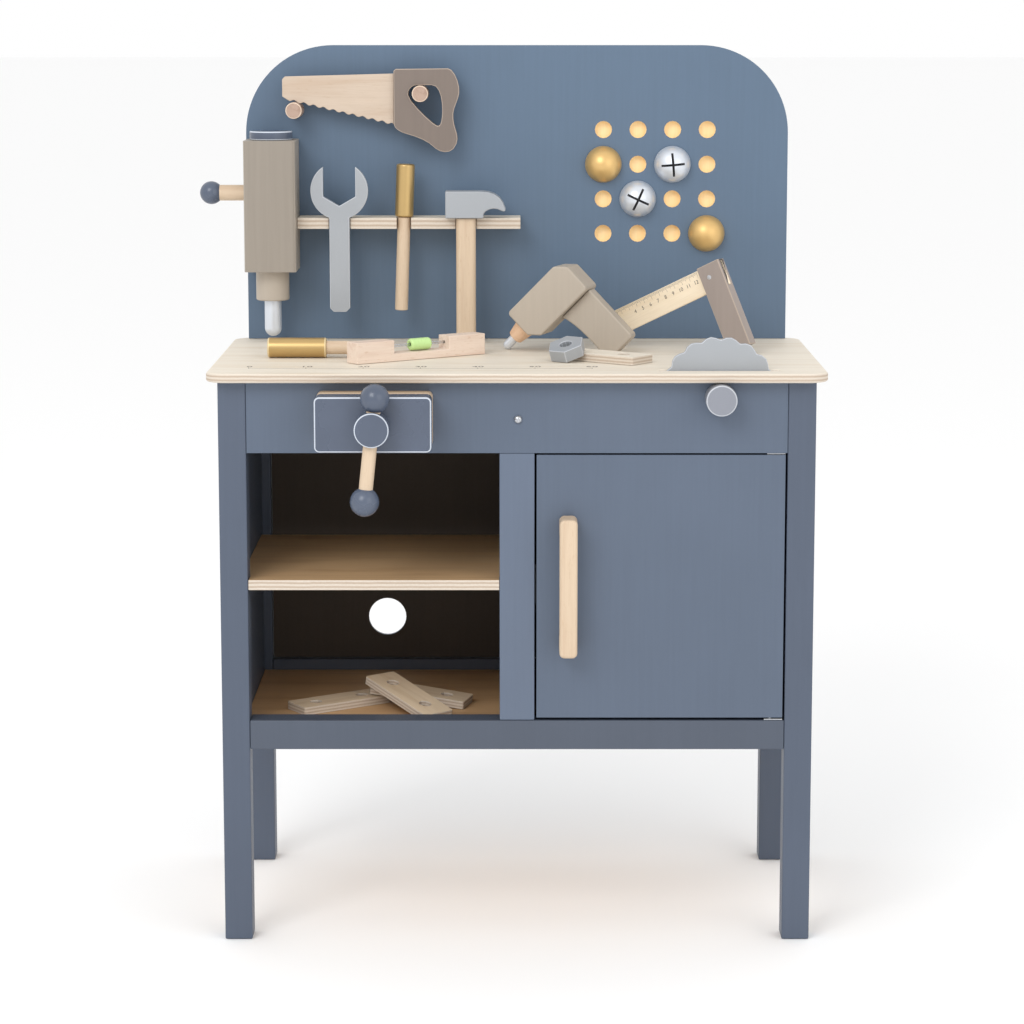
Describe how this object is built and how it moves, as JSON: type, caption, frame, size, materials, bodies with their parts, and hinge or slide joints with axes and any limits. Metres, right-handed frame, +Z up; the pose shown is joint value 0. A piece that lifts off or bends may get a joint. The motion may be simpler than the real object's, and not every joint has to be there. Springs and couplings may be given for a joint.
{
  "type": "toy workbench",
  "caption": "Child's wooden toy workbench with a cupboard, open shelves, vise, circular saw, drill press, peg board and loose toy tools.",
  "frame": {"origin": "middle of the bounding box's footprint, on the floor", "axes": "+Z up, the bench faces -Y, +X to the right as seen from the front"},
  "size_m": [0.631, 0.3844, 0.875],
  "materials": {
    "blue_paint": "satin paint",
    "pale_blue_paint": "satin paint",
    "plywood": "clear matt lacquer",
    "beech": "clear matt lacquer",
    "beige_paint": "satin paint",
    "taupe_paint": "satin paint",
    "silver_paint": "metallic paint",
    "gold_paint": "metallic paint",
    "green_paint": "satin paint",
    "steel": "plated"
  },
  "bodies": {
    "bench": {"front_leg_left": "blue_paint", "front_leg_right": "blue_paint", "rear_leg_left": "blue_paint", "rear_leg_right": "blue_paint", "apron": "blue_paint", "bottom_rail_front": "blue_paint", "bottom_rail_rear": "blue_paint", "side_panel_left": "blue_paint", "side_panel_right": "blue_paint", "back_panel": "blue_paint", "floor_panel": "plywood", "divider_post": "blue_paint", "divider_panel": "blue_paint", "shelf": "plywood", "door_pivot_upper": "steel", "door_pivot_lower": "steel", "door_catch": "steel", "worktop": "plywood", "apron_screw": "steel", "backboard": "blue_paint", "saw_peg_left": "beech", "saw_peg_right": "beech", "tool_rack": "plywood", "press_housing": "beige_paint", "vise_fixed_jaw": "beech"},
    "door": {"door": "blue_paint", "door_handle": "beech"},
    "circular_saw": {"circular_saw_blade": "silver_paint", "circular_saw_knob": "silver_paint"},
    "gold_bolt_left": {"gold_bolt_left": "gold_paint"},
    "gold_bolt_right": {"gold_bolt_right": "gold_paint"},
    "slotted_bolt_upper": {"slotted_bolt_upper": "silver_paint"},
    "slotted_bolt_lower": {"slotted_bolt_lower": "silver_paint"},
    "hand_saw": {"hand_saw_handle": "taupe_paint", "hand_saw_blade": "plywood"},
    "wrench": {"wrench": "silver_paint"},
    "screwdriver": {"screwdriver_grip": "gold_paint", "screwdriver_shaft": "beech"},
    "hammer": {"hammer_head": "silver_paint", "hammer_handle": "beech"},
    "press_quill": {"press_spindle": "beige_paint", "press_cap": "pale_blue_paint", "press_lever": "beech"},
    "vise_jaw": {"vise_moving_jaw": "pale_blue_paint"},
    "vise_screw": {"vise_screw": "pale_blue_paint"},
    "vise_bar": {"vise_bar": "beech"},
    "loose_screwdriver": {"loose_screwdriver": "gold_paint"},
    "spirit_level": {"level_body": "beech", "level_rod": "steel"},
    "level_bead": {"level_bead": "green_paint"},
    "toy_drill": {"drill_body": "beige_paint", "drill_grip": "beige_paint"},
    "drill_chuck": {"drill_chuck": "beech"},
    "try_square": {"square_stock": "taupe_paint", "square_rule": "plywood"},
    "nut": {"nut": "silver_paint"},
    "worktop_strip": {"worktop_strip": "plywood"},
    "floor_strip_left": {"floor_strip_left": "plywood"},
    "floor_strip_back": {"floor_strip_back": "plywood"},
    "floor_strip_top": {"floor_strip_top": "plywood"}
  },
  "joints": [
    {"name": "door_hinge", "type": "hinge", "parent": "bench", "child": "door", "pos_m": [0.2635, -0.1058, 0.355], "axis": [0, 0, 1], "range_deg": [0, 115]},
    {"name": "vise_jaw_slide", "type": "slide", "parent": "bench", "child": "vise_jaw", "axis": [0, -1, 0], "range_m": [0, 0.035]},
    {"name": "vise_screw_spin", "type": "hinge", "parent": "vise_jaw", "child": "vise_screw", "pos_m": [-0.1215, -0.1728, 0.52], "axis": [0, -1, 0], "range_deg": [0, 1574]},
    {"name": "vise_bar_slide", "type": "slide", "parent": "vise_screw", "child": "vise_bar", "axis": [0.1045, 0, 0.9945], "range_m": [0, 0.041]},
    {"name": "circular_saw_spin", "type": "hinge", "parent": "bench", "child": "circular_saw", "pos_m": [0.2115, -0.1128, 0.541], "axis": [0, -1, 0], "continuous": true},
    {"name": "press_slide", "type": "slide", "parent": "bench", "child": "press_quill", "axis": [0, 0, 1], "range_m": [0, 0.012]},
    {"name": "gold_bolt_left_pull", "type": "slide", "parent": "bench", "child": "gold_bolt_left", "axis": [0, -1, 0], "range_m": [0, 0.03]},
    {"name": "gold_bolt_right_pull", "type": "slide", "parent": "bench", "child": "gold_bolt_right", "axis": [0, -1, 0], "range_m": [0, 0.03]},
    {"name": "slotted_bolt_upper_turn", "type": "hinge", "parent": "bench", "child": "slotted_bolt_upper", "pos_m": [0.1792, 0.1672, 0.7507], "axis": [0, -1, 0], "continuous": true},
    {"name": "slotted_bolt_lower_turn", "type": "hinge", "parent": "bench", "child": "slotted_bolt_lower", "pos_m": [0.1428, 0.1672, 0.7143], "axis": [0, -1, 0], "continuous": true},
    {"name": "hand_saw_off_pegs", "type": "slide", "parent": "bench", "child": "hand_saw", "axis": [0, -1, 0], "range_m": [0, 0.03]},
    {"name": "wrench_lift", "type": "slide", "parent": "bench", "child": "wrench", "axis": [0, 0, 1], "range_m": [0, 0.04]},
    {"name": "screwdriver_lift", "type": "slide", "parent": "bench", "child": "screwdriver", "axis": [0.0349, 0, 0.9994], "range_m": [0, 0.025]},
    {"name": "hammer_lift", "type": "slide", "parent": "bench", "child": "hammer", "axis": [0, 0, 1], "range_m": [0, 0.03]},
    {"name": "loose_screwdriver_lift", "type": "slide", "parent": "bench", "child": "loose_screwdriver", "axis": [0, 0, 1], "range_m": [0, 0.03]},
    {"name": "spirit_level_lift", "type": "slide", "parent": "bench", "child": "spirit_level", "axis": [0, 0, 1], "range_m": [0, 0.03]},
    {"name": "level_bead_slide", "type": "slide", "parent": "spirit_level", "child": "level_bead", "axis": [0.809, 0.5878, 0], "range_m": [-0.0235, 0.0175]},
    {"name": "toy_drill_lift", "type": "slide", "parent": "bench", "child": "toy_drill", "axis": [0, 0, 1], "range_m": [0, 0.03]},
    {"name": "drill_chuck_spin", "type": "hinge", "parent": "toy_drill", "child": "drill_chuck", "pos_m": [0.01814, 0.07532, 0.58362], "axis": [-0.6725, 0.2185, -0.7071], "continuous": true},
    {"name": "try_square_lift", "type": "slide", "parent": "bench", "child": "try_square", "axis": [0, 0, 1], "range_m": [0, 0.03]},
    {"name": "worktop_strip_lift", "type": "slide", "parent": "bench", "child": "worktop_strip", "axis": [0, 0, 1], "range_m": [0, 0.03]},
    {"name": "nut_lift", "type": "slide", "parent": "worktop_strip", "child": "nut", "axis": [0, 0, 1], "range_m": [0, 0.02]},
    {"name": "floor_strip_left_lift", "type": "slide", "parent": "bench", "child": "floor_strip_left", "axis": [0, 0, 1], "range_m": [0, 0.02]},
    {"name": "floor_strip_back_lift", "type": "slide", "parent": "floor_strip_left", "child": "floor_strip_back", "axis": [0, 0, 1], "range_m": [0, 0.02]},
    {"name": "floor_strip_top_lift", "type": "slide", "parent": "floor_strip_back", "child": "floor_strip_top", "axis": [0, 0, 1], "range_m": [0, 0.02]}
  ],
  "couplings": [
    {"joint": "vise_jaw_slide", "follows": "vise_screw_spin", "m_per_rad": 0.0012732}
  ]
}
